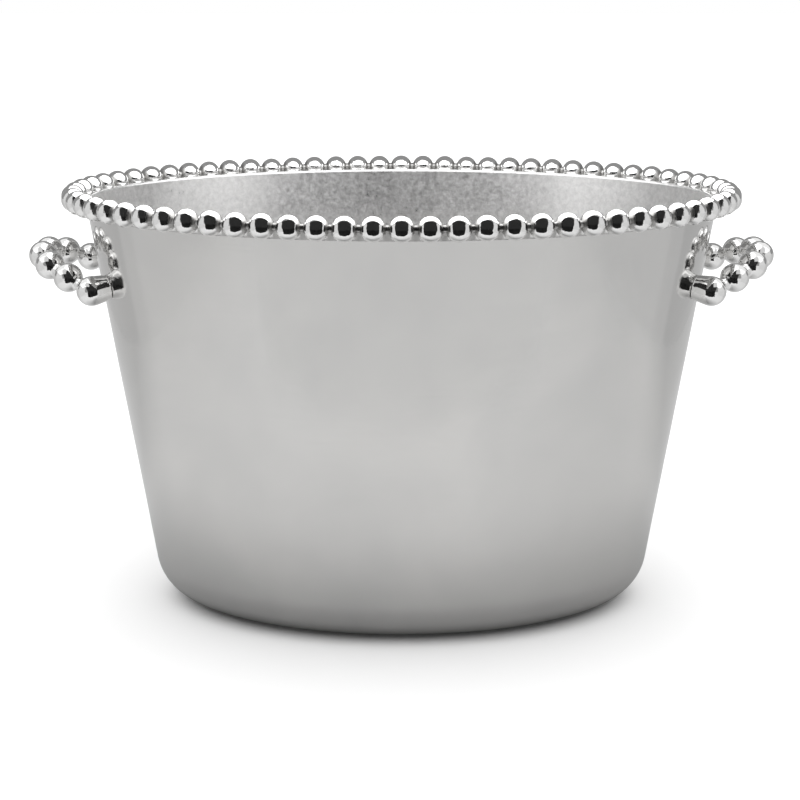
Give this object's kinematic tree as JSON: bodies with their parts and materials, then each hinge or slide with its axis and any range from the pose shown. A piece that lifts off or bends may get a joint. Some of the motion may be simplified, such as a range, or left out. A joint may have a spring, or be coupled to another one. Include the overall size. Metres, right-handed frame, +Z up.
{
  "type": "champagne bucket",
  "caption": "Oval tapered champagne bucket in satin silver-coloured metal, with a polished beaded rim and a beaded loop handle at each end.",
  "frame": {"origin": "centre of the underside, on the surface that the bucket stands on", "axes": "+Z up; +X along the bucket's long axis through both handles; -Y towards the front of the bucket"},
  "size_m": [0.3918, 0.2642, 0.2281],
  "materials": {
    "satin_metal": "satin, hand finished",
    "polished_metal": "mirror polished",
    "stainless_steel": "machined",
    "sealing_rubber": "matte"
  },
  "bodies": {
    "root": {"bucket_shell": "satin_metal", "rim_bead_border": "polished_metal", "handle_left": "polished_metal", "handle_right": "polished_metal", "handle_screw_left_front": "stainless_steel", "handle_screw_left_rear": "stainless_steel", "handle_screw_right_front": "stainless_steel", "handle_screw_right_rear": "stainless_steel", "screw_washer_left_front": "stainless_steel", "screw_washer_left_rear": "stainless_steel", "screw_washer_right_front": "stainless_steel", "screw_washer_right_rear": "stainless_steel", "sealing_washer_left_front": "sealing_rubber", "sealing_washer_left_rear": "sealing_rubber", "sealing_washer_right_front": "sealing_rubber", "sealing_washer_right_rear": "sealing_rubber"}
  },
  "joints": []
}
